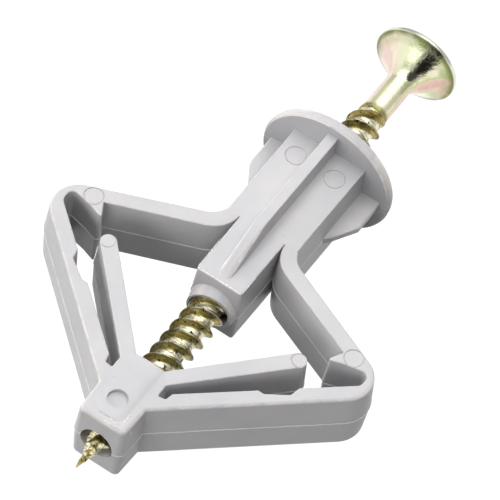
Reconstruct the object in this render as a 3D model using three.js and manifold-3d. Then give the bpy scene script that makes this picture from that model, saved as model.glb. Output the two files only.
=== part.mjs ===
// Butterfly anchor for hollow walls, with its screw.
//
// Frame: millimetres. The origin is the centre of the flange's seat face, the face that lies on the
// wall. +Y runs along the screw into the wall, X is across the two wings and Z is square to them.
// The wings are drawn in the XY plane and extruded through the plate's thickness. "right" is +X,
// which is on the right when the flange is looked at from the front.
//
// The real anchor is one moulding whose arms bend at thin places. Here it is cut at those places,
// so that each stiff stretch is a mesh of its own and each bending web is a mesh between them.

import * as THREE from "three";
import { mergeVertices } from "three/addons/utils/BufferGeometryUtils.js";
import Module from "manifold-3d";

const wasm = await Module();
wasm.setup();

// ---- Driving dimensions -----------------------------------------------------------------------

const HALF_THICKNESS = 3.85; // of the flat plate that body, arms and nose are cut from
const CUT_GAP = 0.3; // between two meshes of the one moulding

const FLANGE_RADIUS = 7.35;
const FLANGE_THICKNESS = 1.15;

const BODY_HALF_WIDTH = 4.08;
const RAIL_END = 11; // where the side rails leave the body
const CORE_ROOT_HALF_WIDTH = 2.62;
const CORE_END_HALF_WIDTH = 2.55;
const CORE_END = 19.6;
const COLLAR_ROOT_RADIUS = 2.5;
const COLLAR_TIP_RADIUS = 2.3;
const COLLAR_LENGTH = 1.1;

const RIB_HALF_WIDTH = 0.58;
const RIB_TOP = 6.2; // height above the middle plane
const RIB_RAMP_START = 13.2;
const RIB_RAMP_END = 19.2;
const FIN_HALF_WIDTH = 6.38;
const FIN_HALF_THICKNESS = 0.45;
const FIN_BEND = 3.9;
const FIN_END = 7.1;

const BORE_RADIUS = 2.12;
const COUNTERSINK_RADIUS = 4.75;
const COUNTERSINK_RIM = 0.5; // straight wall above the cone, for the head's rim
const COUNTERSINK_NECK_RADIUS = 3.65; // where the cone passes into the body, inside its faces
const COUNTERSINK_DEPTH = 3.1;

const UPPER_ARM_FACE = [6.5, 15.77]; // a point on the face towards the nose
const UPPER_ARM_ANGLE = 22.95; // degrees from +X, away from the body
const UPPER_ARM_THICKNESS = 1.62;
const UPPER_ARM_START = -1.2;
const UPPER_ARM_END = 9.75;
const ROOT_BEND_OUTER_RADIUS = 2.2;
const ROOT_BEND_INNER_RADIUS = 3;

const HOOK_BASE = [13.84, 18.88];
const HOOK_TIP = [13, 20.5];
const HOOK_END = [16.4, 19.52];

const OUTER_ARM_FACE = [16.2, 21.82]; // a point on the face towards the screw
const OUTER_ARM_ANGLE = 138.6; // degrees from +X, from the elbow to the nose
const OUTER_ARM_THICKNESS = 1.7;
const OUTER_ARM_START = 0.6;
const OUTER_ARM_END = 15.15;
const ELBOW_OUTER_RADIUS = 2.9;
const ELBOW_SLOT_CORNER = [17.53, 20.65];
const ELBOW_SLOT_RADIUS = 0.75;
const RECESS = { start: 4.6, floorStart: 5.55, floorEnd: 7.9, end: 8.8, depth: 0.7 };

const BRACE_TIP = [11, 22.33]; // centre of the round tip
const BRACE_ANGLE = 133.05; // degrees from +X, from the tip to the nose
const BRACE_HALF_WIDTH = 0.82;
const BRACE_LENGTH = 10.45;

const NOSE_BACK = 31.2;
const NOSE_FRONT = 39.4;
const NOSE_HALF_WIDTH = 2.65;
const NOSE_CORNER_RADIUS = 0.6;
const POCKET_SIDE = 3.43; // the slot between outer arm and brace ends in a square pocket
const POCKET_END = 33.8;

const SCREW_HEAD_TOP = -17.2;
const SCREW_TIP = 42.8;
const HEAD_RADIUS = 4.6;
const HEAD_RIM = 0.4;
const HEAD_LENGTH = 3.8;
const SHANK_RADIUS = 1.43;
const SHANK_END = -9.2;
const THREAD_RADIUS = 1.93;
const POINT_START = 37.6;
const POINT_RADIUS = 0.25;
const RECESS_HALF_SPAN = 2.1; // cross recess in the head
const RECESS_HALF_WIDTH = 0.45;
const RECESS_DEPTH = 2.2;
const CORE_RADIUS = 0.4; // the screw's own core, a node of its own that carries its travel
const CORE_BORE_RADIUS = 0.75;
const CORE_START = -14.4;
const CORE_STOP = 36;

// ---- Materials --------------------------------------------------------------------------------

const plastic = (shade) =>
  new THREE.MeshStandardMaterial({ color: shade, roughness: 0.45, metalness: 0 });
const bodyPlastic = plastic(0xc9c7c9);
const webPlastic = plastic(0xbfbdbf);
const zinc = new THREE.MeshStandardMaterial({ color: 0xc8c08a, roughness: 0.28, metalness: 1 });

// ---- Plan geometry ----------------------------------------------------------------------------

// A straight face in plan: at(s, n) is s along it and n to its right, into the material.
function face(start, degrees) {
  const angle = THREE.MathUtils.degToRad(degrees);
  const along = new THREE.Vector2(Math.cos(angle), Math.sin(angle));
  return {
    angle,
    at: (s, n) => [
      start[0] + s * along.x + n * along.y,
      start[1] + s * along.y - n * along.x,
    ],
  };
}

const upperFace = face(UPPER_ARM_FACE, UPPER_ARM_ANGLE);
const outerFace = face(OUTER_ARM_FACE, OUTER_ARM_ANGLE);
const braceLine = face(BRACE_TIP, BRACE_ANGLE);

// How far along a face, offset by n, the line crosses X = x.
function crossing(line, n, x) {
  const [x0] = line.at(0, n);
  const [x1] = line.at(1, n);
  return line.at((x - x0) / (x1 - x0), n);
}

// The corner where one face's offset line meets another's.
function corner(a, na, b, nb) {
  const [ax, ay] = a.at(0, na);
  const [bx, by] = b.at(0, nb);
  const across = Math.cos(a.angle) * Math.sin(b.angle) - Math.sin(a.angle) * Math.cos(b.angle);
  const s = ((bx - ax) * Math.sin(b.angle) - (by - ay) * Math.cos(b.angle)) / across;
  return a.at(s, na);
}

// A closed outline from corners [x, y, radius]; a corner with a radius becomes a tangent arc.
function outline(corners) {
  const shape = new THREE.Shape();
  corners.forEach(([x, y, radius = 0], i) => {
    const here = new THREE.Vector2(x, y);
    if (!radius) {
      if (i) shape.lineTo(x, y);
      else shape.moveTo(x, y);
      return;
    }
    const before = corners[(i + corners.length - 1) % corners.length];
    const after = corners[(i + 1) % corners.length];
    const back = new THREE.Vector2(before[0], before[1]).sub(here).normalize();
    const on = new THREE.Vector2(after[0], after[1]).sub(here).normalize();
    const half = Math.acos(back.dot(on)) / 2;
    const setback = radius / Math.tan(half);
    const start = here.clone().addScaledVector(back, setback);
    const end = here.clone().addScaledVector(on, setback);
    const middle = back.clone().add(on).normalize();
    const centre = here.clone().addScaledVector(middle, radius / Math.sin(half));
    if (i) shape.lineTo(start.x, start.y);
    else shape.moveTo(start.x, start.y);
    const from = start.clone().sub(centre).angle();
    const to = end.clone().sub(centre).angle();
    shape.absarc(centre.x, centre.y, radius, from, to, back.cross(on) > 0);
  });
  shape.closePath();
  return shape;
}

// A plate between two heights, cut to an outline in plan.
function plate(corners, low = -HALF_THICKNESS, high = HALF_THICKNESS) {
  const options = { depth: high - low, bevelEnabled: false, curveSegments: 4 };
  return new THREE.ExtrudeGeometry(outline(corners), options).translate(0, 0, low);
}

// The same corners on both sides of the screw, as one outline: they run from -Y to +Y on +X.
const bothSides = (corners) => [
  ...corners,
  ...corners.map(([x, y, radius]) => [-x, y, radius]).reverse(),
];

// A solid of revolution about the screw's axis: the profile is [radius, y] in rising y.
function turned(profile, segments = 48) {
  const points = profile.map(([radius, y]) => new THREE.Vector2(radius, y));
  return new THREE.LatheGeometry(points, segments);
}

// ---- Booleans ---------------------------------------------------------------------------------

function solid(geometry) {
  const bare = geometry.clone();
  bare.deleteAttribute("normal");
  bare.deleteAttribute("uv");
  const merged = mergeVertices(bare, 1e-4);
  const triVerts = new Uint32Array(merged.index.array);
  const vertProperties = new Float32Array(merged.attributes.position.array);
  return new wasm.Manifold(new wasm.Mesh({ numProp: 3, vertProperties, triVerts }));
}

function geometryOf(manifold) {
  const { vertProperties, triVerts } = manifold.getMesh();
  const geometry = new THREE.BufferGeometry();
  geometry.setAttribute("position", new THREE.BufferAttribute(vertProperties, 3));
  geometry.setIndex(new THREE.BufferAttribute(triVerts, 1));
  geometry.computeVertexNormals();
  return geometry;
}

const join = (...geometries) => geometries.map(solid).reduce((sum, next) => sum.add(next));

// ---- Moulded pieces ---------------------------------------------------------------------------

function sleeve() {
  const body = plate(
    bothSides([
      [BODY_HALF_WIDTH, -FLANGE_THICKNESS / 2],
      [BODY_HALF_WIDTH, RAIL_END],
      [CORE_ROOT_HALF_WIDTH, RAIL_END],
      [CORE_END_HALF_WIDTH, CORE_END, 0.15],
    ]),
  );
  const flange = turned([
    [0, -FLANGE_THICKNESS],
    [FLANGE_RADIUS, -FLANGE_THICKNESS],
    [FLANGE_RADIUS, 0],
    [0, 0],
  ]);
  const fins = plate(
    bothSides([
      [FIN_HALF_WIDTH, -FLANGE_THICKNESS / 2],
      [FIN_HALF_WIDTH, FIN_BEND],
      [BODY_HALF_WIDTH - 0.5, FIN_END + 0.8],
    ]),
    -FIN_HALF_THICKNESS,
    FIN_HALF_THICKNESS,
  );
  // The ribs' outline lies in the YZ plane: it is drawn as (y, z) and turned upright.
  const rampSlope = (RIB_TOP - HALF_THICKNESS) / (RIB_RAMP_END - RIB_RAMP_START);
  const sunk = HALF_THICKNESS - 0.3;
  const rib = [
    [-FLANGE_THICKNESS / 2, RIB_TOP],
    [RIB_RAMP_START, RIB_TOP],
    [RIB_RAMP_END + 0.3 / rampSlope, sunk],
  ];
  const ribs = plate(
    [...rib, ...rib.map(([y, z]) => [y, -z]).reverse()],
    -RIB_HALF_WIDTH,
    RIB_HALF_WIDTH,
  );
  ribs.applyMatrix4(
    new THREE.Matrix4().makeBasis(
      new THREE.Vector3(0, 1, 0),
      new THREE.Vector3(0, 0, 1),
      new THREE.Vector3(1, 0, 0),
    ),
  );
  const collar = turned([
    [0, CORE_END - 1],
    [COLLAR_ROOT_RADIUS, CORE_END - 1],
    [COLLAR_ROOT_RADIUS, CORE_END],
    [COLLAR_TIP_RADIUS, CORE_END + COLLAR_LENGTH],
    [0, CORE_END + COLLAR_LENGTH],
  ]);
  const bore = turned([
    [0, -FLANGE_THICKNESS - 1],
    [COUNTERSINK_RADIUS, -FLANGE_THICKNESS - 1],
    [COUNTERSINK_RADIUS, COUNTERSINK_RIM - FLANGE_THICKNESS],
    [COUNTERSINK_NECK_RADIUS, 0],
    [BORE_RADIUS, COUNTERSINK_DEPTH - FLANGE_THICKNESS],
    [BORE_RADIUS, CORE_END + COLLAR_LENGTH + 1],
    [0, CORE_END + COLLAR_LENGTH + 1],
  ]);
  return geometryOf(join(body, flange, fins, ribs, collar).subtract(solid(bore)));
}

function rootHinge() {
  const inner = CORE_ROOT_HALF_WIDTH + CUT_GAP;
  const start = RAIL_END + CUT_GAP;
  const end = UPPER_ARM_START - CUT_GAP;
  return plate([
    [inner, start],
    [BODY_HALF_WIDTH, start],
    [...crossing(upperFace, UPPER_ARM_THICKNESS, BODY_HALF_WIDTH), ROOT_BEND_OUTER_RADIUS],
    upperFace.at(end, UPPER_ARM_THICKNESS),
    upperFace.at(end, 0),
    [...crossing(upperFace, 0, inner), ROOT_BEND_INNER_RADIUS],
  ]);
}

function upperArm() {
  return plate([
    upperFace.at(UPPER_ARM_START, UPPER_ARM_THICKNESS),
    upperFace.at(UPPER_ARM_END, UPPER_ARM_THICKNESS),
    HOOK_END,
    [...HOOK_TIP, 0.15],
    HOOK_BASE,
    upperFace.at(UPPER_ARM_START, 0),
  ]);
}

function elbowHinge() {
  const outside = corner(upperFace, UPPER_ARM_THICKNESS, outerFace, OUTER_ARM_THICKNESS);
  return plate([
    upperFace.at(UPPER_ARM_END + CUT_GAP, UPPER_ARM_THICKNESS),
    [...outside, ELBOW_OUTER_RADIUS],
    outerFace.at(OUTER_ARM_START - CUT_GAP, OUTER_ARM_THICKNESS),
    outerFace.at(OUTER_ARM_START - CUT_GAP, 0),
    [...ELBOW_SLOT_CORNER, ELBOW_SLOT_RADIUS],
    [HOOK_END[0] + CUT_GAP + 0.03, HOOK_END[1] + 0.02],
  ]);
}

function outerArm() {
  return plate([
    outerFace.at(OUTER_ARM_START, OUTER_ARM_THICKNESS),
    outerFace.at(OUTER_ARM_END, OUTER_ARM_THICKNESS),
    outerFace.at(OUTER_ARM_END, 0),
    outerFace.at(RECESS.end, 0),
    outerFace.at(RECESS.floorEnd, RECESS.depth),
    outerFace.at(RECESS.floorStart, RECESS.depth),
    outerFace.at(RECESS.start, 0),
    outerFace.at(OUTER_ARM_START, 0),
  ]);
}

function armNoseHinge() {
  const start = OUTER_ARM_END + CUT_GAP;
  const side = NOSE_HALF_WIDTH + CUT_GAP;
  return plate([
    outerFace.at(start, OUTER_ARM_THICKNESS),
    crossing(outerFace, OUTER_ARM_THICKNESS, side),
    [side, POCKET_END],
    [POCKET_SIDE, POCKET_END],
    crossing(outerFace, 0, POCKET_SIDE),
    outerFace.at(start, 0),
  ]);
}

function brace() {
  return plate([
    [...braceLine.at(-BRACE_HALF_WIDTH, -BRACE_HALF_WIDTH), 0.98 * BRACE_HALF_WIDTH],
    [...braceLine.at(-BRACE_HALF_WIDTH, BRACE_HALF_WIDTH), 0.98 * BRACE_HALF_WIDTH],
    braceLine.at(BRACE_LENGTH, BRACE_HALF_WIDTH),
    braceLine.at(BRACE_LENGTH, -BRACE_HALF_WIDTH),
  ]);
}

function braceHinge() {
  const start = BRACE_LENGTH + CUT_GAP;
  const side = NOSE_HALF_WIDTH + CUT_GAP;
  return plate([
    braceLine.at(start, BRACE_HALF_WIDTH),
    crossing(braceLine, BRACE_HALF_WIDTH, side),
    crossing(braceLine, -BRACE_HALF_WIDTH, side),
    braceLine.at(start, -BRACE_HALF_WIDTH),
  ]);
}

function noseBlock() {
  const ear = crossing(braceLine, -BRACE_HALF_WIDTH, NOSE_HALF_WIDTH);
  const slope = Math.tan(braceLine.angle);
  const earRoot = [ear[0] + (NOSE_BACK - ear[1]) / slope, NOSE_BACK];
  const block = plate(
    bothSides([earRoot, ear, [NOSE_HALF_WIDTH, NOSE_FRONT, NOSE_CORNER_RADIUS]]),
  );
  const bore = turned([
    [0, NOSE_BACK - 3],
    [BORE_RADIUS, NOSE_BACK - 3],
    [BORE_RADIUS, NOSE_FRONT + 1],
    [0, NOSE_FRONT + 1],
  ]);
  return geometryOf(solid(block).subtract(solid(bore)));
}

// ---- Screw ------------------------------------------------------------------------------------

// The trumpet under the head: its radius falls fast at first and then runs out into the shank.
function trumpet(steps = 8) {
  return Array.from({ length: steps + 1 }, (_, i) => {
    const t = i / steps;
    const radius = SHANK_RADIUS + (HEAD_RADIUS - SHANK_RADIUS) * (1 - t) ** 1.8;
    return [radius, SCREW_HEAD_TOP + HEAD_RIM + t * (HEAD_LENGTH - HEAD_RIM)];
  });
}

function screw() {
  const body = turned(
    [
      [0, SCREW_HEAD_TOP],
      [HEAD_RADIUS, SCREW_HEAD_TOP],
      ...trumpet(),
      [SHANK_RADIUS, SHANK_END],
      [THREAD_RADIUS, SHANK_END + 1],
      [THREAD_RADIUS, POINT_START],
      [POINT_RADIUS, SCREW_TIP],
      [0, SCREW_TIP],
    ],
    32,
  );
  const slot = (halfX, halfZ) =>
    new THREE.BoxGeometry(2 * halfX, 2 * RECESS_DEPTH, 2 * halfZ).translate(0, SCREW_HEAD_TOP, 0);
  const cross = join(
    slot(RECESS_HALF_SPAN, RECESS_HALF_WIDTH),
    slot(RECESS_HALF_WIDTH, RECESS_HALF_SPAN),
  );
  const bore = turned(
    [
      [0, SCREW_HEAD_TOP],
      [CORE_BORE_RADIUS, SCREW_HEAD_TOP],
      [CORE_BORE_RADIUS, CORE_STOP + CUT_GAP],
      [0, CORE_STOP + CUT_GAP],
    ],
    16,
  );
  return geometryOf(solid(body).subtract(cross).subtract(solid(bore)));
}

function screwCore() {
  return turned(
    [
      [0, CORE_START],
      [CORE_RADIUS, CORE_START],
      [CORE_RADIUS, CORE_STOP],
      [0, CORE_STOP],
    ],
    12,
  );
}

// ---- Assembly ---------------------------------------------------------------------------------

const group = new THREE.Group();

function add(name, geometry, material) {
  const mesh = new THREE.Mesh(geometry, material);
  mesh.name = name;
  group.add(mesh);
  return mesh;
}

const wingPieces = [
  ["root_hinge", rootHinge, webPlastic],
  ["upper_arm", upperArm, bodyPlastic],
  ["elbow_hinge", elbowHinge, webPlastic],
  ["outer_arm", outerArm, bodyPlastic],
  ["nose_hinge", armNoseHinge, webPlastic],
  ["brace", brace, bodyPlastic],
  ["brace_hinge", braceHinge, webPlastic],
];

add("sleeve", sleeve(), bodyPlastic);
add("nose_block", noseBlock(), bodyPlastic);
for (const [name, make, material] of wingPieces) {
  add(`right_${name}`, make(), material);
  add(`left_${name}`, make(), material).rotation.y = Math.PI; // the plate is the same on both faces
}
add("screw", screw(), zinc);
add("screw_core", screwCore(), zinc);

export default group;
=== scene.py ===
"""Butterfly anchor for hollow walls, with its yellow zinc-plated screw.

The moulding is drawn in plan, in millimetres, as outlines of corners. Each outline becomes a solid
with the draft, parting line and edge rounds of a moulding, and is then cut into pieces at the same
places as the CAD frame. A piece between two bodies is left in place, on neither body.
"""

import math

import bmesh
import bpy
from mathutils import Matrix, Vector
from mathutils.geometry import delaunay_2d_cdt


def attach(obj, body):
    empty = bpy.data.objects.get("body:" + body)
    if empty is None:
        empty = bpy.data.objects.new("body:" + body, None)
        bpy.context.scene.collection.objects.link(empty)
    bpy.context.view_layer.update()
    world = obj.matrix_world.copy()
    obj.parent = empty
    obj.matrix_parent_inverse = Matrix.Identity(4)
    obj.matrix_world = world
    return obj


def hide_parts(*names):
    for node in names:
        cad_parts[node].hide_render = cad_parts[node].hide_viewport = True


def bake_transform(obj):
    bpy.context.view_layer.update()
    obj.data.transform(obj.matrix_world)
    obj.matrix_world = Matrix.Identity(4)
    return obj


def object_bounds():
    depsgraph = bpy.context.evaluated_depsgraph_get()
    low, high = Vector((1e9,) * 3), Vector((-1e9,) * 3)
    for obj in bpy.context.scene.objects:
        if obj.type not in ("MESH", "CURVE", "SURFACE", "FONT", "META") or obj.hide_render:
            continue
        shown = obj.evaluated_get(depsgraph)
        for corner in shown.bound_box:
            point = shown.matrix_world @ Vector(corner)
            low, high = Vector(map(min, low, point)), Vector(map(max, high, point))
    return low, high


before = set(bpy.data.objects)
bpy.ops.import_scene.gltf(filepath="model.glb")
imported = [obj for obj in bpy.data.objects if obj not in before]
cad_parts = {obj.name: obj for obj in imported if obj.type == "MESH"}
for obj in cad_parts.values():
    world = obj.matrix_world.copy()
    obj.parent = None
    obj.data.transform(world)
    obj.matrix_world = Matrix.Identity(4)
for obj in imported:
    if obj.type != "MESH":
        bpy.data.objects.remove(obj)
cad_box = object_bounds()

MM = 0.001
HALF = 3.85  # half the plate's thickness
CRISP = 0.12  # edge rounds
SOFT = 0.34
PARTING_SWELL = 0.21  # how far the sides lean out at mid height
PARTING_HIGHLIGHT = (0.07, 0.045)  # height at which its painted highlight, a pale line, starts, and at which it is full
ROUND_STEPS = 4
ARC_STEP = math.radians(9)
CUTTER_REACH = 12.0  # above and below the mid plane, past everything

# Places along the screw's axis that its shape and its material share.
HEAD_TOP = -17.2
RIM = HEAD_TOP + 0.5  # end of the head's straight edge, where it starts to flare down
THREAD_START = -9.2
TIP = 42.8

# ---- Plan geometry ------------------------------------------------------------------------------


class Line:
    """A straight face in plan: at(s, n) is s along it and n to its right."""

    def __init__(self, start, degrees):
        self.start = Vector(start)
        angle = math.radians(degrees)
        self.along = Vector((math.cos(angle), math.sin(angle)))
        self.right = Vector((self.along.y, -self.along.x))

    def at(self, s, n=0.0):
        p = self.start + s * self.along + n * self.right
        return p.x, p.y

    def y_at(self, x, n=0.0):
        p = self.start + n * self.right
        return p.y + (x - p.x) * self.along.y / self.along.x


UPPER = Line((6.5, 15.77), 22.95)  # upper arm, face towards the nose
OUTER = Line((16.2, 21.82), 138.85)  # outer arm, face towards the screw
OUTER_THICKNESS = 1.66
BRACE_INNER = Line((2.54, 30.16), -47.3)
BRACE_OUTER = Line((2.6, 32.44), -47.0)
NOSE_BACK = 31.2
NOSE_FRONT = 39.4


def corner(x, y, radius=0.0, edge=CRISP):
    return Vector((x, y)), radius, edge


def mirrored(corners):
    return [(Vector((-p.x, p.y)), radius, edge) for p, radius, edge in reversed(corners)]


def miters(points):
    """For each corner of a counterclockwise outline, how it moves when all faces move out by 1."""
    out = []
    for i, p in enumerate(points):
        a = (p - points[i - 1]).normalized()
        b = (points[(i + 1) % len(points)] - p).normalized()
        na, nb = Vector((a.y, -a.x)), Vector((b.y, -b.x))
        out.append((na + nb) / (1 + na.dot(nb)))
    return out


def arc_steps(before, here, after):
    """How many straight steps round the corner at here."""
    turn = (here - before).angle_signed(after - here)
    return max(2, math.ceil(abs(turn) / ARC_STEP))


def ring(corners, grow):
    """The outline's points with each corner rounded, after face i has moved out by grow(edge)."""
    base = [p for p, _, _ in corners]
    shift = miters(base)
    offset = [grow(edge) for _, _, edge in corners]
    moved = [p + m * g for p, m, g in zip(base, shift, offset)]
    out = []
    for i, (p, radius, _) in enumerate(corners):
        before, here, after = base[i - 1], p, base[(i + 1) % len(base)]
        if not radius:
            out.append(moved[i])
            continue
        turn = (here - before).angle_signed(after - here)  # positive is clockwise
        steps = arc_steps(before, here, after)
        back = (moved[i - 1] - moved[i]).normalized()
        on = (moved[(i + 1) % len(base)] - moved[i]).normalized()
        r = max(radius + (offset[i] if turn < 0 else -offset[i]), 0.02)
        half = back.angle(on) / 2
        middle = (back + on).normalized()
        centre = moved[i] + middle * (r / math.sin(half))
        start = moved[i] + back * (r / math.tan(half)) - centre
        sweep = math.pi - 2 * half
        for k in range(steps + 1):
            angle = sweep * k / steps * (1 if turn < 0 else -1)
            out.append(centre + Matrix.Rotation(angle, 2) @ start)
    return out


def levels():
    """(height, grow) pairs from the mid plane to the top. Both depend on the edge round."""
    out = [
        (lambda e: 0.035, lambda e: PARTING_SWELL + 0.05),
        (lambda e: 0.1, lambda e: PARTING_SWELL),
        (lambda e: HALF - e, lambda e: 0.0),
    ]
    for k in range(1, ROUND_STEPS + 1):
        angle = math.pi / 2 * k / ROUND_STEPS
        out.append(
            (
                lambda e, a=angle: HALF - e * (1 - math.sin(a)),
                lambda e, a=angle: -e * (1 - math.cos(a)),
            )
        )
    return out


def heights(corners, height):
    """One height for each point that ring() makes."""
    base = [p for p, _, _ in corners]
    out = []
    for i, (p, radius, edge) in enumerate(corners):
        count = 1
        if radius:
            count = arc_steps(base[i - 1], p, base[(i + 1) % len(base)]) + 1
        out += [height(edge)] * count
    return out


# ---- Meshes -------------------------------------------------------------------------------------


def new_object(name, verts, faces):
    mesh = bpy.data.meshes.new(name)
    mesh.from_pydata([[c * MM for c in v] for v in verts], [], faces)
    mesh.validate()
    obj = bpy.data.objects.new(name, mesh)
    bpy.context.scene.collection.objects.link(obj)
    return obj


def moulded(name, corners):
    """A plate with draft to both sides of a parting line, and rounded edges."""
    upper = []
    for height, grow in levels():
        upper.append(list(zip(ring(corners, grow), heights(corners, height))))
    rings = [[(p, -z) for p, z in level] for level in reversed(upper)] + upper
    count = len(rings[0])
    verts = [(p.x, p.y, z) for level in rings for p, z in level]
    faces = []
    for k in range(len(rings) - 1):
        a, b = k * count, (k + 1) * count
        faces += [
            (a + i, a + (i + 1) % count, b + (i + 1) % count, b + i) for i in range(count)
        ]
    top = [p for p, _ in rings[-1]]
    loop = [(i, (i + 1) % count) for i in range(count)]
    _, _, tris, origin, _, _ = delaunay_2d_cdt(top, loop, [], 1, 1e-7)
    index = [group[0] for group in origin]
    last = (len(rings) - 1) * count
    for tri in tris:
        a, b, c = (index[v] for v in tri)
        faces.append((last + a, last + b, last + c))
        faces.append((c, b, a))
    return new_object(name, verts, faces)


def lofted(name, rows, ends=(-1, 1)):
    """A solid through rows of points, each a loop of the same count, closed by its two end rows.
    ends: 1 lists an end face forwards and -1 backwards, which a boolean's result depends on."""
    count = len(rows[0])
    verts = [v for row in rows for v in row]
    last = len(verts) - count
    faces = [tuple(range(count))[:: ends[0]], tuple(range(last, len(verts)))[:: ends[1]]]
    for a in range(0, last, count):
        b = a + count
        faces += [(a + i, a + (i + 1) % count, b + (i + 1) % count, b + i) for i in range(count)]
    obj = new_object(name, verts, faces)
    outward(obj)
    return obj


def prism(points):
    """A plain block over a plan polygon, used as a cutter."""
    return lofted("cutter", [[(x, y, z) for x, y in points] for z in (-CUTTER_REACH, CUTTER_REACH)])


def outward(obj):
    bm = bmesh.new()
    bm.from_mesh(obj.data)
    bmesh.ops.recalc_face_normals(bm, faces=bm.faces)
    bm.to_mesh(obj.data)
    bm.free()


def turned(name, profile, segments=64):
    """A solid of revolution about the screw's axis. profile is (radius, y) from one end to the
    other, starting and ending on the axis."""
    verts, faces = [], []
    rows = []
    for radius, y in profile:
        if radius < 1e-6:
            rows.append([len(verts)])
            verts.append((0, y, 0))
            continue
        rows.append(list(range(len(verts), len(verts) + segments)))
        for i in range(segments):
            angle = math.tau * i / segments
            verts.append((radius * math.cos(angle), y, radius * math.sin(angle)))
    for a, b in zip(rows, rows[1:]):
        for i in range(segments):
            j = (i + 1) % segments
            quad = [a[i % len(a)], a[j % len(a)], b[j % len(b)], b[i % len(b)]]
            face = [v for k, v in enumerate(quad) if v != quad[k - 1]]
            faces.append(tuple(face))
    obj = new_object(name, verts, faces)
    outward(obj)
    return obj


def combine(obj, other, operation):
    """Boolean of obj with other, applied to obj's mesh. The other object is used up."""
    modifier = obj.modifiers.new("cut", "BOOLEAN")
    modifier.operation = operation
    modifier.solver = "EXACT"
    modifier.object = other
    bpy.context.view_layer.update()
    done = obj.evaluated_get(bpy.context.evaluated_depsgraph_get())
    mesh = bpy.data.meshes.new_from_object(done)
    obj.modifiers.clear()
    obj.data = mesh
    bpy.data.objects.remove(other)
    return obj


def part_of(source, name, region):
    """The part of a moulding that lies over a plan region, as an object of its own."""
    obj = bpy.data.objects.new(name, source.data.copy())
    bpy.context.scene.collection.objects.link(obj)
    return combine(obj, prism(region), "INTERSECT")


def mirror_copy(obj, name):
    """The same piece on the other side of the screw."""
    copy = bpy.data.objects.new(name, obj.data.copy())
    bpy.context.scene.collection.objects.link(copy)
    copy.data.transform(Matrix.Scale(-1, 4, Vector((1, 0, 0))))
    copy.data.flip_normals()
    return copy


def ejector_mark(x, y, radius, top=HALF, depth=0.05):
    """The cutter for the print of an ejector pin in a face at height top: a shallow disc with a
    groove round it, where the pin met the mould."""
    groove = max(depth, 0.11)
    profile = [(0, -depth), (radius - 0.1, -depth), (radius - 0.07, -groove), (radius, -groove)]
    profile += [(radius + 0.04, 0), (radius + 0.1, 1), (0, 1)]
    disc = turned("pin", profile, 48)
    disc.data.transform(Matrix.Rotation(math.pi / 2, 4, "X"))
    disc.data.transform(Matrix.Translation(Vector((x, y, top)) * MM))
    return disc


# ---- Materials ----------------------------------------------------------------------------------


class Nodes:
    """Short hand for building one material's node tree."""

    def __init__(self, name):
        self.material = bpy.data.materials.new(name)
        self.material.use_nodes = True
        self.tree = self.material.node_tree
        self.shader = self.tree.nodes["Principled BSDF"]

    def add(self, kind, **inputs):
        node = self.tree.nodes.new(kind)
        for key, value in inputs.items():
            node.inputs[key].default_value = value
        return node

    def link(self, out, into):
        self.tree.links.new(out, into)

    def noise(self, place, scale, detail):
        node = self.add("ShaderNodeTexNoise", Scale=scale, Detail=detail, Roughness=0.6)
        self.link(place, node.inputs["Vector"])
        return node.outputs["Fac"]

    def split(self, vector):
        node = self.add("ShaderNodeSeparateXYZ")
        self.link(vector, node.inputs["Vector"])
        return (node.outputs[axis] for axis in "XYZ")

    def put(self, value, into):
        """Connect a socket, or set a number or colour."""
        if isinstance(value, bpy.types.NodeSocket):
            self.link(value, into)
        else:
            into.default_value = value

    def math(self, operation, *values):
        node = self.tree.nodes.new("ShaderNodeMath")
        node.operation = operation
        for value, into in zip(values, node.inputs):
            self.put(value, into)
        return node.outputs["Value"]

    def span(self, value, low, high):
        """0 below low, 1 above high."""
        node = self.add("ShaderNodeMapRange")
        node.inputs["From Min"].default_value = low
        node.inputs["From Max"].default_value = high
        self.link(value, node.inputs["Value"])
        return node.outputs["Result"]

    def reach(self, value, ends):
        """0 at the first end and 1 at the second, both in millimetres."""
        return self.span(value, ends[0] * MM, ends[1] * MM)

    def mix(self, share, a, b, blend="MIX"):
        node = self.tree.nodes.new("ShaderNodeMix")
        node.data_type = "RGBA"
        node.blend_type = blend
        self.put(share, node.inputs["Factor"])
        self.put(a, node.inputs[6])
        self.put(b, node.inputs[7])
        return node.outputs[2]

    def stretched(self, place, factors):
        """The place with each axis multiplied, which draws a noise out along the small ones."""
        node = self.add("ShaderNodeVectorMath")
        node.operation = "MULTIPLY"
        self.link(place, node.inputs[0])
        node.inputs[1].default_value = factors
        return node.outputs["Vector"]

    def bump(self, relief, strength, distance):
        node = self.add("ShaderNodeBump", Strength=strength, Distance=distance)
        self.link(relief, node.inputs["Height"])
        self.link(node.outputs["Normal"], self.shader.inputs["Normal"])

    def ramp(self, source, stops):
        node = self.tree.nodes.new("ShaderNodeValToRGB")
        elements = node.color_ramp.elements
        while len(elements) < len(stops):
            elements.new(0.5)
        for element, (position, colour) in zip(elements, stops):
            element.position = position
            element.color = colour
        self.link(source, node.inputs["Fac"])
        return node.outputs["Color"]


def grey(value):
    return (value, value, value, 1)


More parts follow.
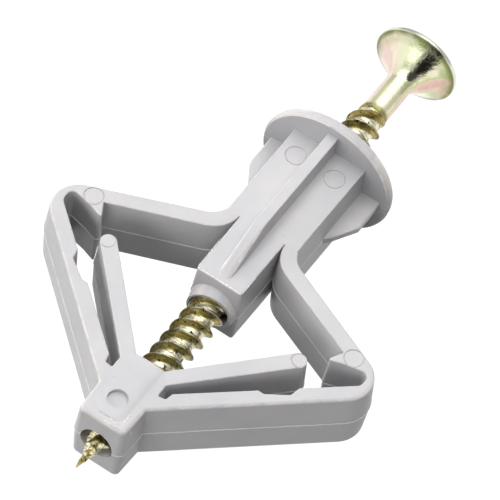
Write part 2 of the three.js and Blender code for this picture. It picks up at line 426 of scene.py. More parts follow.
def plastic_material():
    """Grey moulded nylon with specks and drag lines. Its rounded edges and parting line are painted
    paler, as painted highlights.
    """
    n = Nodes("grey_plastic")
    coordinates = n.add("ShaderNodeTexCoord")
    place = coordinates.outputs["Object"]
    _, _, z = n.split(place)
    _, _, facing_up = n.split(coordinates.outputs["Normal"])
    cloud = n.noise(place, 160.0, 3.0)
    colour = n.ramp(
        cloud, [(0.3, (0.322, 0.318, 0.33, 1)), (0.7, (0.366, 0.358, 0.362, 1))]
    )
    # Painted highlight: where the faces turn round the rounded edges, the colour is paler and
    # warmer, broken up by noise.
    tilt = n.math("ABSOLUTE", facing_up)
    edge = n.math("MULTIPLY", n.span(tilt, 0.12, 0.3), n.span(tilt, 0.92, 0.8))
    edge = n.math("MULTIPLY", edge, n.span(n.noise(place, 900.0, 3.0), 0.3, 0.6))
    colour = n.mix(edge, colour, (0.47, 0.445, 0.425, 1))
    # Painted highlight: a pale line along the parting line at mid height, broken up by noise.
    parting = n.reach(n.math("ABSOLUTE", z), PARTING_HIGHLIGHT)
    parting = n.math("MULTIPLY", parting, n.span(n.noise(place, 500.0, 2.0), 0.3, 0.5))
    colour = n.mix(n.math("MULTIPLY", parting, 0.45), colour, (0.62, 0.6, 0.58, 1))
    specks = n.math("MULTIPLY", n.span(n.noise(place, 1900.0, 1.0), 0.75, 0.79), 0.2)
    colour = n.mix(specks, colour, (0.16, 0.15, 0.15, 1))
    n.link(colour, n.shader.inputs["Base Color"])
    grain = n.noise(place, 2600.0, 4.0)
    rough = n.ramp(grain, [(0.3, grey(0.36)), (0.75, grey(0.5))])
    n.link(rough, n.shader.inputs["Roughness"])
    lines = n.noise(n.stretched(place, (1.0, 0.16, 0.5)), 1500.0, 3.0)
    relief = n.math("ADD", n.math("MULTIPLY", grain, 0.6), n.math("MULTIPLY", lines, 0.9))
    n.bump(relief, 0.16, 0.06 * MM)
    n.shader.inputs["Specular IOR Level"].default_value = 0.45
    return n.material


def painted_highlight_plastic_material():
    """The same nylon where it is thin, painted paler as a painted highlight for the light that shows
    through it.
    """
    n = Nodes("painted_highlight_plastic")
    place = n.add("ShaderNodeTexCoord").outputs["Object"]
    colour = n.ramp(
        n.noise(place, 900.0, 3.0), [(0.35, (0.42, 0.41, 0.4, 1)), (0.65, (0.66, 0.64, 0.61, 1))]
    )
    n.link(colour, n.shader.inputs["Base Color"])
    n.bump(n.noise(place, 3000.0, 3.0), 0.3, 0.05 * MM)
    n.shader.inputs["Roughness"].default_value = 0.55
    return n.material


# Where the zinc's looks change, as (no effect, full effect) in millimetres along the screw.
ON_RIM = (RIM + 0.01, RIM - 0.04)
OFF_RIM = (RIM, RIM + 0.3)
RIM_CREASE_SHADE = (RIM + 0.3, RIM + 0.08)
RIM_DARK_REFLECTION = (RIM + 0.8, RIM + 0.1)
ON_HEAD = (RIM + 5.1, RIM + 3.1)
ON_THREAD = (THREAD_START - 0.2, THREAD_START + 0.2)
NEAR_POINT = (TIP - 4.6, TIP - 3.4)
ROOT_TO_CREST = (1.2, 1.95)  # the same for the distance from the axis
PAINTED_SHADE_LEAN = (-1.1, -1.7)  # and for how far a place leans to the side that gets painted shade


def zinc_material():
    """Yellow passivated zinc. On the plain shank and head its mottled tint runs from cream to green
    to pink round the axis, and is pinker towards +X: both are painted reflection colours. On the
    thread the roots stay bright as a painted reflection, the flanks are gold and stained, the crests
    are worn, and the side towards -X is darker as painted shade."""
    n = Nodes("yellow_zinc")
    place = n.add("ShaderNodeTexCoord").outputs["Object"]
    x, y, z = n.split(place)
    radius = n.math("SQRT", n.math("ADD", n.math("MULTIPLY", x, x), n.math("MULTIPLY", z, z)))
    upright = n.math("ABSOLUTE", n.math("DIVIDE", z, radius))
    cloud = n.noise(place, 900.0, 4.0)
    patch = n.noise(place, 420.0, 2.0)
    fine = n.noise(place, 1900.0, 3.0)
    blotch = n.math("SUBTRACT", n.math("ADD", patch, n.math("MULTIPLY", cloud, 0.5)), 0.75)
    wander = n.math("ADD", upright, n.math("MULTIPLY", blotch, 1.5))
    # Painted reflection: the tint's run round the axis, from pink at the sides to cream facing up
    # and down, stands in for a sheen that changes with the view; the blotches are the zinc's own
    # mottling.
    smooth_tint_and_painted_light = n.ramp(
        wander,
        [
            (0.0, (0.66, 0.44, 0.38, 1)),
            (0.36, (0.74, 0.56, 0.46, 1)),
            (0.48, (0.5, 0.55, 0.3, 1)),
            (0.6, (0.66, 0.69, 0.42, 1)),
            (0.78, (0.86, 0.79, 0.62, 1)),
            (0.98, (0.8, 0.83, 0.56, 1)),
        ],
    )
    # Painted reflection: pinker towards +X.
    painted_pink_reflection = n.math("MULTIPLY", n.span(n.math("DIVIDE", x, radius), 0.3, 0.75), 0.6)
    smooth_tint_and_painted_light = n.mix(painted_pink_reflection, smooth_tint_and_painted_light, (0.84, 0.66, 0.6, 1))
    # Painted reflection: a dark olive band round the flare just under the rim, where something dark
    # is mirrored, broken up by noise.
    rim_painted_reflection = n.math("MULTIPLY", n.reach(y, RIM_DARK_REFLECTION), n.span(patch, 0.3, 0.6))
    smooth_tint_and_painted_light = n.mix(rim_painted_reflection, smooth_tint_and_painted_light, (0.27, 0.34, 0.12, 1))
    # Painted shade: a darker line in the crease just under the rim.
    rim_painted_shade = n.math("MULTIPLY", n.reach(y, RIM_CREASE_SHADE), n.span(patch, 0.2, 0.45))
    smooth_tint_and_painted_light = n.mix(rim_painted_shade, smooth_tint_and_painted_light, (0.2, 0.22, 0.09, 1))
    smooth_tint_and_painted_light = n.mix(n.reach(y, ON_RIM), smooth_tint_and_painted_light, (0.72, 0.7, 0.6, 1))
    level = n.reach(radius, ROOT_TO_CREST)
    point = n.math("MULTIPLY", n.reach(y, NEAR_POINT), 1.3)
    wear = n.math("MULTIPLY", n.math("SUBTRACT", cloud, 0.5), n.math("ADD", point, 0.45))
    ragged = n.math("ADD", n.math("ADD", level, wear), n.math("MULTIPLY", point, 0.22))
    # Painted reflection: the thread's roots are painted bright cream. Further out, the flanks are
    # gold and the worn crests are pale grey.
    thread_tint_and_painted_light = n.ramp(
        ragged,
        [
            (0.1, (0.93, 0.89, 0.69, 1)),
            (0.22, (0.74, 0.7, 0.45, 1)),
            (0.3, (0.4, 0.34, 0.13, 1)),
            (0.58, (0.56, 0.43, 0.16, 1)),
            (0.84, (0.27, 0.23, 0.1, 1)),
            (0.96, (0.62, 0.59, 0.5, 1)),
        ],
    )
    flank_stain = n.ramp(
        n.noise(place, 840.0, 5.0),
        [
            (0.39, (0.22, 0.24, 0.16, 1)),
            (0.45, (0.95, 0.9, 0.9, 1)),
            (0.53, (0.72, 0.92, 0.5, 1)),
            (0.6, (1.1, 0.85, 0.7, 1)),
        ],
    )
    on_flank = n.math("MULTIPLY", n.span(level, 0.15, 0.35), 0.85)
    thread_tint_and_painted_light = n.mix(on_flank, thread_tint_and_painted_light, flank_stain, "MULTIPLY")
    # Painted shade: the thread is darker on the side towards -X and -Z.
    lean = n.math("ADD", n.math("MULTIPLY", x, 0.9), n.math("MULTIPLY", z, 0.45))
    painted_shade_side = n.math("MULTIPLY", n.reach(lean, PAINTED_SHADE_LEAN), 0.8)
    thread_tint_and_painted_light = n.mix(painted_shade_side, thread_tint_and_painted_light, (0.56, 0.4, 0.41, 1), "MULTIPLY")
    streak = n.noise(n.stretched(place, (0.22, 1.0, 0.22)), 5200.0, 3.0)
    streak_share = n.math("MULTIPLY", n.span(streak, 0.52, 0.56), 0.78)
    thread_tint_and_painted_light = n.mix(streak_share, thread_tint_and_painted_light, (0.26, 0.22, 0.1, 1))
    pits = n.span(n.noise(place, 1900.0, 2.0), 0.63, 0.67)
    thread_tint_and_painted_light = n.mix(pits, thread_tint_and_painted_light, (0.025, 0.022, 0.012, 1))
    on_thread = n.reach(y, ON_THREAD)
    n.link(n.mix(on_thread, smooth_tint_and_painted_light, thread_tint_and_painted_light), n.shader.inputs["Base Color"])
    on_head = n.reach(y, ON_HEAD)
    shank_rough = n.ramp(fine, [(0.3, grey(0.24)), (0.75, grey(0.34))])
    head_rough = n.ramp(fine, [(0.3, grey(0.1)), (0.75, grey(0.19))])
    smooth_rough = n.mix(on_head, shank_rough, head_rough)
    thread_rough = n.ramp(fine, [(0.3, grey(0.26)), (0.7, grey(0.5))])
    n.link(n.mix(on_thread, smooth_rough, thread_rough), n.shader.inputs["Roughness"])
    ripple = n.math("MULTIPLY", n.noise(place, 1100.0, 5.0), 0.8)
    relief = n.math("ADD", n.math("MULTIPLY", streak, on_thread), ripple)
    on_flare = n.math("MULTIPLY", on_head, n.reach(y, OFF_RIM))
    grain = n.math("MULTIPLY", n.noise(place, 3600.0, 2.0), n.math("MULTIPLY", on_flare, 0.5))
    relief = n.math("ADD", relief, grain)
    n.bump(relief, 0.6, 0.06 * MM)
    n.shader.inputs["Metallic"].default_value = 1.0
    return n.material


PLASTIC = plastic_material()
HIGHLIGHT_PLASTIC = painted_highlight_plastic_material()
ZINC = zinc_material()


def finish(obj, material, smooth_below=28):
    """Shading, material and slot of one piece."""
    bm = bmesh.new()
    bm.from_mesh(obj.data)
    bmesh.ops.remove_doubles(bm, verts=bm.verts, dist=2e-6)
    bmesh.ops.dissolve_degenerate(bm, edges=bm.edges, dist=1e-6)
    bm.to_mesh(obj.data)
    bm.free()
    obj.data.materials.clear()
    obj.data.materials.append(material)
    for polygon in obj.data.polygons:
        polygon.material_index = 0
    obj.data.shade_smooth()
    obj.data.set_sharp_from_angle(angle=math.radians(smooth_below))
    weighted = obj.modifiers.new("weighted", "WEIGHTED_NORMAL")
    weighted.keep_sharp = True
    return obj


# ---- Moulding: outlines -------------------------------------------------------------------------

ROOT_SIDE = 4.05
RAIL_INNER = 2.65
SLEEVE_CUT = 12.1

wing_outline = [
    corner(ROOT_SIDE, 10),
    corner(ROOT_SIDE, 12.94, 2.4),
    corner(20.6, 20.04, 2.92, SOFT),
    corner(3.4, OUTER.y_at(3.4, OUTER_THICKNESS), 0, SOFT),
    corner(3.4, OUTER.y_at(3.4)),
    corner(9.75, 27.47, 0.15),
    corner(10.4, 27.47, 0.25),
    corner(12.45, 26.02, 0.25),
    corner(12.7, OUTER.y_at(12.7), 0.1),
    corner(17.15, OUTER.y_at(17.15), 0.75),
    corner(17.15, 19.42, 0.62),
    corner(14.65, 19.95, 0.8),
    corner(13.0, 20.5, 0.15),
    corner(13.84, UPPER.y_at(13.84), 0.12),
    corner(RAIL_INNER, UPPER.y_at(RAIL_INNER), 3.3),
    corner(RAIL_INNER, 10),
]

nose_side = [
    corner(1.62, NOSE_BACK, 0.2),
    corner(10.88, BRACE_INNER.y_at(10.88), 0.8),
    corner(12.07, BRACE_OUTER.y_at(12.07), 0.8),
    corner(2.6, 32.44, 0.2),
    corner(2.63, 33.84, 0.15),
    corner(3.41, 33.7, 0.2),
    corner(3.6, OUTER.y_at(3.6), 0.2),
    corner(8.0, OUTER.y_at(8.0)),
    corner(9.0, OUTER.y_at(9.0, OUTER_THICKNESS), 0, SOFT),
    corner(2.66, OUTER.y_at(2.66, OUTER_THICKNESS), 0.25, SOFT),
    corner(2.6, NOSE_FRONT, 0.6, 0.5),
]
nose_outline = nose_side + mirrored(nose_side)

# ---- Moulding: regions --------------------------------------------------------------------------

UPPER_CUT = -1.35  # along UPPER
ELBOW_CUT = [(16.0, 17.3), (16.12, 17.9), (16.55, 19.75), (16.72, 20.5)]
OUTER_CUT = 0.45  # along OUTER
FORK_CUT = 15.3
BRACE_CUT = 3.2  # along BRACE_INNER
NOSE_CUT = 2.85
NOSE_REGION_START, NOSE_REGION_END = 28, 41  # past both ends of the nose
BESIDE_RAIL = RAIL_INNER - 0.6
ELBOW_INSIDE = (16.4, 20.55)
UPPER_OUT, UPPER_IN = 3, -2  # past both faces of the upper arm
FORK_IN = -0.6
FORK_SPLIT = [(NOSE_CUT, 33.1), (3.3, 32.2)]  # between the arm's web and the brace's
OUTER_OUT, OUTER_IN = 4, -0.9  # past both faces of the outer arm
BRACE_IN, BRACE_OUT = 1.5, -2.4  # past both faces of the brace
BRACE_END = 14  # past its tip

root_region = [
    (BESIDE_RAIL, SLEEVE_CUT),
    (7, SLEEVE_CUT),
    UPPER.at(UPPER_CUT, UPPER_OUT),
    UPPER.at(UPPER_CUT, UPPER_IN),
    (BESIDE_RAIL, 16.5),
]
upper_region = [
    UPPER.at(UPPER_CUT, UPPER_OUT),
    (12, 13),
    *ELBOW_CUT[:3],
    ELBOW_INSIDE,
    (12.5, 21.6),
    UPPER.at(UPPER_CUT, UPPER_IN),
]
elbow_region = [
    *ELBOW_CUT[:1],
    (20, 17.3),
    (20, 25),
    OUTER.at(OUTER_CUT, OUTER_OUT),
    OUTER.at(OUTER_CUT, OUTER_IN),
    ELBOW_INSIDE,
    *ELBOW_CUT[2:0:-1],
]
outer_region = [
    OUTER.at(OUTER_CUT, OUTER_OUT),
    OUTER.at(FORK_CUT, OUTER_OUT),
    OUTER.at(FORK_CUT, FORK_IN),
    OUTER.at(OUTER_CUT, OUTER_IN),
]
fork_region = [
    OUTER.at(FORK_CUT, OUTER_OUT),
    (NOSE_CUT, 38),
    *FORK_SPLIT,
    OUTER.at(FORK_CUT, FORK_IN),
]
brace_root_region = [
    FORK_SPLIT[0],
    (NOSE_CUT, NOSE_REGION_START),
    BRACE_INNER.at(BRACE_CUT, BRACE_IN),
    BRACE_INNER.at(BRACE_CUT, BRACE_OUT),
    FORK_SPLIT[1],
]
brace_region = [
    BRACE_INNER.at(BRACE_CUT, BRACE_IN),
    BRACE_INNER.at(BRACE_END, BRACE_IN),
    BRACE_INNER.at(BRACE_END, BRACE_OUT),
    BRACE_INNER.at(BRACE_CUT, BRACE_OUT),
]
nose_region = [
    (-NOSE_CUT, NOSE_REGION_START),
    (NOSE_CUT, NOSE_REGION_START),
    (NOSE_CUT, NOSE_REGION_END),
    (-NOSE_CUT, NOSE_REGION_END),
]

wing = moulded("wing", wing_outline)
nose_whole = moulded("nose_whole", nose_outline)

# ---- Moulding: pieces ---------------------------------------------------------------------------

IN_FLANGE = -0.6  # where sleeve, ribs and fins start
SLEEVE_HALF = 4.1  # half its width at the flange
CORE_HALF = 2.6
CORE_END = 19.6
COLLAR_END = 21.3
BORE = 2.05
NOSE_BORE = 1.78


def sleeve_piece():
    body = moulded(
        "sleeve_moulding",
        [
            corner(-SLEEVE_HALF, IN_FLANGE),
            corner(SLEEVE_HALF, IN_FLANGE),
            corner(ROOT_SIDE, 14.0),
            corner(-ROOT_SIDE, 14.0),
        ],
    )
    to_cut = prism([(-6, -2), (6, -2), (6, SLEEVE_CUT), (-6, SLEEVE_CUT)])
    combine(body, to_cut, "INTERSECT")
    core = moulded(
        "core",
        [
            corner(-CORE_HALF, 11),
            corner(CORE_HALF, 11),
            corner(2.55, CORE_END, 0.25, 0.2),
            corner(-2.55, CORE_END, 0.25, 0.2),
        ],
    )
    combine(body, core, "UNION")
    flange = turned(
        "flange",
        [
            (0, -1.15),
            (6.9, -1.15),
            (7.2, -1.06),
            (7.3, -0.84),
            (7.3, -0.5),
            (7.36, -0.44),
            (7.36, -0.36),
            (7.3, -0.3),
            (7.28, -0.14),
            (7.14, 0),
            (0, 0),
        ],
        120,
    )
    combine(body, flange, "UNION")
    for side in (1, -1):
        combine(body, rib(side), "UNION")
    combine(body, fin_plate(), "UNION")
    combine(body, collar(), "UNION")
    bore = turned(
        "bore",
        [
            (0, -2),
            (4.75, -2),
            (4.75, -0.78),
            (3.65, 0.0),
            (BORE, 1.9),
            (BORE, 20.1),
            (BORE + 0.06, 22),
            (0, 22),
        ],
    )
    combine(body, bore, "DIFFERENCE")
    for side in (1, -1):
        combine(body, ejector_mark(2.24 * side, 2.67, 1.1), "DIFFERENCE")
    return body


def collar():
    """The tapered tube on the end of the core, longer on one side where its edge has flashed."""
    tube = turned("collar", [(0, 18), (2.62, 18), (2.62, 19.62), (2.2, COLLAR_END), (0, COLLAR_END)])
    return combine(tube, prism([(-4, 20.1), (4, 21.26), (4, 24), (-4, 24)]), "DIFFERENCE")


def flash(name, body, edges):
    """The thin irregular beads of flash along some edges of one body, painted paler than the
    moulding as a painted highlight.
    edges: (bead radius, points of (x, y, z)) for each."""
    sides, spacing = 6, 0.1
    verts, faces = [], []
    for size, points in edges:
        path = []
        for a, b in zip(points, points[1:]):
            a, b = Vector(a), Vector(b)
            steps = max(2, round((b - a).length / spacing))
            path += [(a.lerp(b, k / steps), (b - a).normalized()) for k in range(steps)]
        path.append((Vector(points[-1]), path[-1][1]))
        first, last = len(verts), len(path) - 1
        for k, (place, along) in enumerate(path):
            across = along.orthogonal().normalized()
            over = along.cross(across)
            phase = k + 10 * size * len(edges) + first
            wobble = math.sin(2.3 * phase) * math.sin(0.71 * phase) + 0.5 * math.sin(5.1 * phase)
            radius = size * (0.6 + 0.4 * wobble) if 0 < k < last else size * 0.2
            for i in range(sides):
                angle = math.tau * i / sides
                v = place + radius * (math.cos(angle) * across + math.sin(angle) * over)
                verts.append(tuple(v))
        rows = [range(first + k * sides, first + (k + 1) * sides) for k in range(len(path))]
        faces += [tuple(rows[0]), tuple(rows[-1])]
        for low, high in zip(rows, rows[1:]):
            faces += [
                (low[i], low[(i + 1) % sides], high[(i + 1) % sides], high[i]) for i in range(sides)
            ]
    obj = new_object(name, verts, faces)
    outward(obj)
    finish(obj, HIGHLIGHT_PLASTIC, 80)
    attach(obj, body)


def rib(side):
    """The centre rib: straight, then a rounded ramp down to the sleeve's face."""
    foot, foot_spread, steps = 3.2, 0.04, 6
    stations = [  # y, height of the top, half width, edge round
        (IN_FLANGE, 6.2, 0.58, 0.12),
        (12.6, 6.2, 0.58, 0.12),
        (13.4, 6.12, 0.6, 0.2),
        (14.2, 5.86, 0.64, 0.32),
        (18.2, 4.3, 0.74, 0.5),
        (19.3, 3.7, 0.76, 0.5),
    ]
    rows = []
    for y, top, half, soft in stations:
        row = [(-half - foot_spread, foot)]
        for s in (-1, 1):
            for k in range(steps + 1):
                angle = math.pi / 2 * k / steps
                c, d = math.cos(angle), math.sin(angle)
                if s > 0:
                    c, d = d, c
                row.append((s * (half - soft + soft * c), top - soft + soft * d))
        row.append((half + foot_spread, foot))
        rows.append([(x, y, z * side) for x, z in row])
    return lofted("rib", rows)


def fin_plate():
    """Both side fins as one thin plate through the sleeve."""
    half, bevel = 0.45, 0.12
    right = [
        corner(6.4, IN_FLANGE),
        corner(6.38, 3.7, 0.5),
        corner(4.9, 6.3, 0.6),
        corner(3.5, 7.9),
    ]
    corners = right + mirrored(right)
    rows = []
    for z, grow in ((-half, -bevel), (-half + bevel, 0), (half - bevel, 0), (half, -bevel)):
        rows.append([(p.x, p.y, z) for p in ring(corners, lambda e, g=grow: g)])
    return lofted("fins", rows)


def bore_swell(side):
    """The low swell over the nose's bore, with a step along both sides and a rounded front end."""
    half, rise, front, end = 1.74, 0.24, 37.6, 38.75
    foot, buried = HALF - 0.03, HALF - 0.5
    across, steps = 20, 9
    stations = [(NOSE_BACK + 0.1, 1.0), (front, 1.0)]
    for k in range(1, steps):
        t = k / steps
        stations.append((front + (end - front) * t, (1 - t**2.4) ** (1 / 1.6)))
    rows = []
    for y, size in stations:
        width = half * size**0.5
        places = [2 * i / across - 1 for i in range(across + 1)]
        row = [(u * width, y, side * (foot + rise * (1 - abs(u) ** 3.5) * size)) for u in places]
        row += [(u * width, y, side * buried) for u in reversed(places)]
        rows.append(row)
    return lofted("swell", rows, ends=(1, 1))


def nose_piece():
    nose = part_of(nose_whole, "nose_moulding", nose_region)
    for side in (1, -1):
        combine(nose, bore_swell(side), "UNION")
    ends = (NOSE_REGION_START, NOSE_REGION_END)
    profile = [(0, ends[0]), (NOSE_BORE, ends[0]), (NOSE_BORE, ends[1]), (0, ends[1])]
    bore = turned("bore", profile)
    combine(nose, bore, "DIFFERENCE")
    return combine(nose, ejector_mark(0.1, 36.55, 1.0, HALF + 0.2, 0.4), "DIFFERENCE")


sleeve = finish(sleeve_piece(), PLASTIC)
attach(sleeve, "sleeve")
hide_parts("sleeve")

flash(
    "sleeve_flash",
    "sleeve",
    [
        (0.1, [(-2.5, 19.5, 3.8), (-0.9, 19.48, 3.82), (0.3, 19.52, 3.82), (2.5, 19.5, 3.8)]),
        (0.06, [(2.55, 19.4, 3.78), (2.57, 17.2, 3.8), (2.6, 15.4, 3.8)]),
        (0.05, [(-2.53, 19.4, 3.78), (-2.56, 17.0, 3.8)]),
    ],
)

nose = finish(nose_piece(), PLASTIC)
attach(nose, "nose")
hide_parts("nose_block")
flash(
    "nose_flash",
    "nose",
    [
        (0.07, [(-2.5, 38.95, 3.74), (-1.5, 39.15, 3.78), (0.2, 39.12, 3.78)]),
        (0.09, [(-1.5, 38.66, 3.84), (-1.1, 38.82, 3.84), (-0.4, 38.6, 3.86)]),
        (0.08, [(0.9, 38.3, 3.84), (0.4, 38.55, 3.84), (0.1, 38.62, 3.84)]),
        (0.07, [(-1.9, 38.5, 3.84), (-1.78, 37.9, 3.84), (-1.8, 37.2, 3.84)]),
        (0.08, [(-2.72, 38.4, 3.3), (-2.76, 38.3, 2.7)]),
        (0.06, [(-2.6, 39.3, -0.4), (-2.3, 39.42, -0.5)]),
    ],
)


# Piece: (what it is cut from, region, node it replaces, bodies, start and end of the bend).
pieces = {
    "root_web": (wing, root_region, "root_hinge", ("sleeve", "upper_arm"),
                 ((3.5, 12.3), (5.1, 14.9))),
    "upper_moulding": (wing, upper_region, "upper_arm", ("upper_arm",), None),
    "elbow_web": (wing, elbow_region, "elbow_hinge", ("upper_arm", "outer_arm"),
                  ((17.0, 19.4), (17.0, 22.2))),
    "outer_moulding": (wing, outer_region, "outer_arm", ("outer_arm",), None),
    "fork_web": (nose_whole, fork_region, "nose_hinge", ("nose", "brace"),
                 ((NOSE_CUT, 33.0), (4.6, 33.0))),
    "brace_web": (nose_whole, brace_root_region, "brace_hinge", ("nose", "brace"),
                  ((NOSE_CUT, 33.0), (4.6, 33.0))),
    "brace_moulding": (nose_whole, brace_region, "brace", ("brace",), None),
}
marks = {
    "upper_moulding": (14.98, 18.89, 1.0),
    "brace_moulding": (11.0, 22.3, 0.8),
}


def body_name(short, side):
    return short if short in ("sleeve", "nose") else f"{side}_{short}"


for name, (source, region, node, bodies, bend) in pieces.items():
    right = part_of(source, f"right_{name}", region)
    if name in marks:
        combine(right, ejector_mark(*marks[name]), "DIFFERENCE")
    left = mirror_copy(right, f"left_{name}")
    for side, sign, piece in (("right", 1, right), ("left", -1, left)):
        finish(piece, PLASTIC)
        names = [body_name(b, side) for b in bodies]
        if bend:
            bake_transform(piece)
        else:
            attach(piece, names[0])
        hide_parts(f"{side}_{node}")

for leftover in (wing, nose_whole):
    bpy.data.objects.remove(leftover)

# ---- Screw --------------------------------------------------------------------------------------

HEAD_RADIUS = 4.6
FLARE_LENGTH = 3.32
FLARE_POWER = 1.75
RECESS_TURN = 20  # degrees
SHANK_OVERLAP = 0.5  # how far the head's piece runs into the threaded one
PITCH = 1.65  # from crest to crest
STARTS = 2  # threads side by side, so one turn moves on by two pitches
FIRST_CREST = -9.45  # where a crest would pass the top of the shank
ROOT_RADIUS = 1.27
CREST_RADIUS = 1.93
SHANK_RADIUS = 1.43
RUN_IN = 2.2  # over which the thread grows to its full height
POINT_START = 37.2
PINCH_START = 38.4
PINCH_RUN = 1.2  # over which the dents grow to their full depth
PINCH_DEPTH = 0.13
AROUND = 36


def screw_envelope(y):
    """(root radius, thread height) at y."""
    run_in = min(max((y - THREAD_START) / RUN_IN, 0), 1)
    root = SHANK_RADIUS + (ROOT_RADIUS - SHANK_RADIUS) * run_in
    height = (CREST_RADIUS - ROOT_RADIUS) * run_in
    if y > POINT_START:
        t = (y - POINT_START) / (TIP - POINT_START)
        root = ROOT_RADIUS * (1 - t) ** 1.1 + 0.09 * t
        height *= max(1 - t * 1.15, 0) ** 1.1
    return root, height


CREST_EDGE = 0.03  # half width of the crest, and where the flank meets the root, in pitches
FLANK_FOOT = 0.33
TOOTH_STATIONS = [0.0, 0.085, 0.17, 0.25, 0.36, 0.47, 0.53, 0.64, 0.75, 0.83, 0.915]


def tooth(t):
    """Height of the thread's section, from 0 to 1, at a share t of the pitch."""
    d = abs(t - 0.5)
    return min(max((FLANK_FOOT - d) / (FLANK_FOOT - CREST_EDGE), 0), 1)


def pinch(y, angle):
    """How far the point is dented where its blades were pinched off, as a share of its radius."""
    depth = min(max((y - PINCH_START) / PINCH_RUN, 0), 1)
    waves = math.sin(3 * angle + 2.6 * y) + 0.8 * math.sin(2 * angle - 4.1 * y + 1)
    return depth * PINCH_DEPTH * waves


def threaded_mesh():
    """The threaded length. Its rows follow the helix, so that each crest is one clean line."""
    per_tooth = len(TOOTH_STATIONS)
    teeth = math.ceil((TIP - FIRST_CREST) / PITCH) + 2 * STARTS + 1
    rows = teeth * per_tooth
    verts, faces = [], []
    for k in range(rows):
        tooth_number, station = divmod(k, per_tooth)
        shape = TOOTH_STATIONS[station]
        for j in range(AROUND):
            share = j / AROUND
            pitches = tooth_number + shape - 0.5 + STARTS * (share - 1)
            y = min(max(FIRST_CREST + PITCH * pitches, THREAD_START), TIP)
            root, height = screw_envelope(y)
            angle = math.tau * share
            radius = (root + height * tooth(shape)) * (1 + pinch(y, angle))
            verts.append((radius * math.sin(angle), y, radius * math.cos(angle)))
    full_turn = STARTS * per_tooth
    for k in range(rows - full_turn - 1):
        a = k * AROUND
        for j in range(AROUND - 1):
            faces.append((a + j, a + j + 1, a + AROUND + j + 1, a + AROUND + j))
        seam = (k + full_turn) * AROUND
        faces.append((a + AROUND - 1, seam, seam + AROUND, a + 2 * AROUND - 1))
    return verts, faces


def screw_piece():
    verts, faces = threaded_mesh()
    obj = new_object("screw_whole", verts, faces)
    bm = bmesh.new()
    bm.from_mesh(obj.data)
    bmesh.ops.remove_doubles(bm, verts=bm.verts, dist=1e-6)
    bmesh.ops.dissolve_degenerate(bm, edges=bm.edges, dist=1e-7)
    open_edges = [e for e in bm.edges if e.is_boundary]
    bmesh.ops.holes_fill(bm, edges=open_edges, sides=0)
    bmesh.ops.recalc_face_normals(bm, faces=bm.faces)
    bm.to_mesh(obj.data)
    bm.free()
    steps = 14
    rim = HEAD_RADIUS
    profile = [(0, HEAD_TOP), (rim - 0.16, HEAD_TOP), (rim - 0.03, HEAD_TOP + 0.07)]
    profile += [(rim, HEAD_TOP + 0.18), (rim, HEAD_TOP + 0.44), (rim - 0.09, RIM)]
    for i in range(1, steps + 1):
        t = i / steps
        radius = SHANK_RADIUS + (rim - 0.13 - SHANK_RADIUS) * (1 - t) ** FLARE_POWER
        profile.append((radius, RIM + t * FLARE_LENGTH))
    shank_end = THREAD_START + SHANK_OVERLAP
    profile += [(SHANK_RADIUS, shank_end), (0, shank_end)]
    head = turned("head", profile, 72)
    for turn in (RECESS_TURN, RECESS_TURN + 90):
        combine(head, recess_blade(math.radians(turn)), "DIFFERENCE")
    return combine(obj, head, "UNION")


def recess_blade(angle):
    """One arm of the cross recess: wide at the face, narrow at the bottom."""
    rows = []
    for y, half_span, half_width in ((HEAD_TOP - 0.5, 2.35, 0.52), (HEAD_TOP + 2.5, 0.7, 0.3)):
        corners = ((-1, -1), (1, -1), (1, 1), (-1, 1))
        rows.append([(sx * half_span, y, sz * half_width) for sx, sz in corners])
    obj = lofted("blade", rows, ends=(1, -1))
    obj.data.transform(Matrix.Rotation(angle, 4, "Y"))
    return obj


screw = finish(screw_piece(), ZINC, 40)
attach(screw, "screw")
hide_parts("screw", "screw_core")

# ---- Camera, floor and light --------------------------------------------------------------------

CAMERA_RIGHT = Vector((-0.82681, -0.54852, 0.12455))
CAMERA_DOWN = Vector((-0.51515, 0.64955, -0.55920))
CAMERA_FORWARD = Vector((0.22583, -0.52651, -0.81962))
CAMERA_PLACE = Vector((-0.10120, 0.24987, 0.36989))
CAMERA_LENS = 336.4

camera = bpy.data.objects.new("camera", bpy.data.cameras.new("camera"))
bpy.context.scene.collection.objects.link(camera)
axes = Matrix((CAMERA_RIGHT, -CAMERA_DOWN, -CAMERA_FORWARD)).transposed()
camera.matrix_world = Matrix.Translation(CAMERA_PLACE) @ axes.to_4x4()
camera.data.lens = CAMERA_LENS
camera.data.sensor_width = 36
camera.data.clip_start = 0.01
bpy.context.scene.camera = camera

FLOOR_DROP = 0.0002
FLOOR_REACH = 2000
quarters = ((-1, -1), (1, -1), (1, 1), (-1, 1))
corners = [(x * FLOOR_REACH, y * FLOOR_REACH, 0) for x, y in quarters]
floor = new_object("floor", corners, [(0, 1, 2, 3)])
floor.location.z = cad_box[0][2] - FLOOR_DROP
white = Nodes("floor_white")
white.shader.inputs["Base Color"].default_value = (0.05, 0.05, 0.05, 1)
white.shader.inputs["Roughness"].default_value = 0.9
white.shader.inputs["Emission Color"].default_value = (1, 1, 1, 1)
white.shader.inputs["Emission Strength"].default_value = 1.0
floor.data.materials.append(white.material)
floor.visible_diffuse = False  # it doesn't throw its light back up into the moulding


LIGHT_TARGET = Vector((0, 0.014, 0))
ROOM_BRIGHTNESS = 0.62
# What the screw mirrors: direction, angles in degrees of full and of no effect, brightness.
ROOM_SPOTS = [
    ((0.8, 0.2, 0.2), 25, 50, 1.0),
    ((0.74, 0.65, 0.2), 15, 30, 1.1),
    ((0.2, 0.87, 0.45), 7, 20, 1.5),
    ((0.0, -0.15, 0.98), 14, 50, 2.3),
    ((-0.66, 0.36, 0.66), 22, 32, 0.06),
    ((-0.46, 0.85, 0.26), 19, 23, 0.01),
]


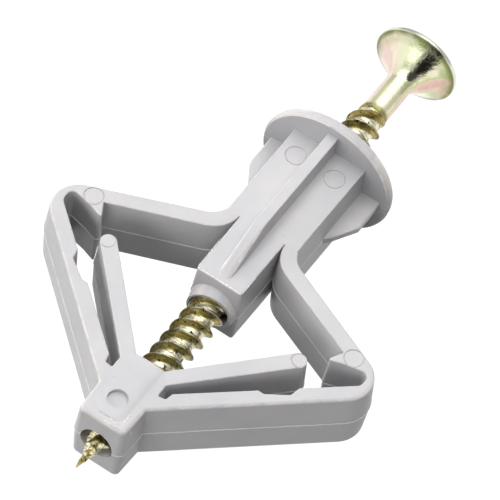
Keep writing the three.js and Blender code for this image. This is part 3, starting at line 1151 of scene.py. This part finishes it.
def area_light(name, place, size, power):
    """A square soft light that points at the middle of the object. No reflection shows it."""
    data = bpy.data.lights.new(name, "AREA")
    data.shape = "SQUARE"
    data.size = size
    data.energy = power
    light = bpy.data.objects.new(name, data)
    bpy.context.scene.collection.objects.link(light)
    light.location = place
    light.rotation_euler = (LIGHT_TARGET - place).to_track_quat("-Z", "Y").to_euler()
    light.visible_glossy = False


area_light("top", Vector((0, 0, 0.6)), 0.6, 5.0)
area_light("top_back", Vector((0.1, -0.45, 0.4)), 0.4, 3.1)
area_light("right", Vector((0.6, 0.05, 0.15)), 0.35, 3.4)
area_light("right_front", Vector((0.45, 0.4, 0.15)), 0.35, 0.6)
area_light("front", Vector((0.05, 0.6, 0.15)), 0.35, 2.7)
area_light("left", Vector((-0.6, 0.05, 0.15)), 0.35, 0.7)
area_light("left_back", Vector((-0.4, -0.45, 0.15)), 0.35, 0.6)


def room():
    """A pale room that shows in reflections, with four bright places and two dark ones. The camera
    sees it plain white, like the floor, and it gives no light of its own."""
    world = bpy.data.worlds.new("world")
    world.use_nodes = True
    tree = world.node_tree
    background = tree.nodes["Background"]
    place = tree.nodes.new("ShaderNodeTexCoord")
    level = None
    for direction, inner, outer, brightness in ROOM_SPOTS:
        facing = tree.nodes.new("ShaderNodeVectorMath")
        facing.operation = "DOT_PRODUCT"
        facing.inputs[1].default_value = Vector(direction).normalized()
        tree.links.new(place.outputs["Generated"], facing.inputs[0])
        spot = tree.nodes.new("ShaderNodeMapRange")
        spot.inputs["From Min"].default_value = math.cos(math.radians(outer))
        spot.inputs["From Max"].default_value = math.cos(math.radians(inner))
        spot.inputs["To Min"].default_value = ROOM_BRIGHTNESS
        spot.inputs["To Max"].default_value = brightness
        tree.links.new(facing.outputs["Value"], spot.inputs["Value"])
        if level:
            tree.links.new(level, spot.inputs["To Min"])
        level = spot.outputs["Result"]
    ray = tree.nodes.new("ShaderNodeLightPath")
    seen = tree.nodes.new("ShaderNodeMath")
    seen.operation = "MULTIPLY_ADD"
    tree.links.new(level, seen.inputs[0])
    tree.links.new(ray.outputs["Is Glossy Ray"], seen.inputs[1])
    tree.links.new(ray.outputs["Is Camera Ray"], seen.inputs[2])
    tree.links.new(seen.outputs["Value"], background.inputs["Strength"])
    background.inputs["Color"].default_value = (1, 1, 1, 1)
    return world


bpy.context.scene.world = room()
bpy.context.scene.view_settings.view_transform = "Standard"
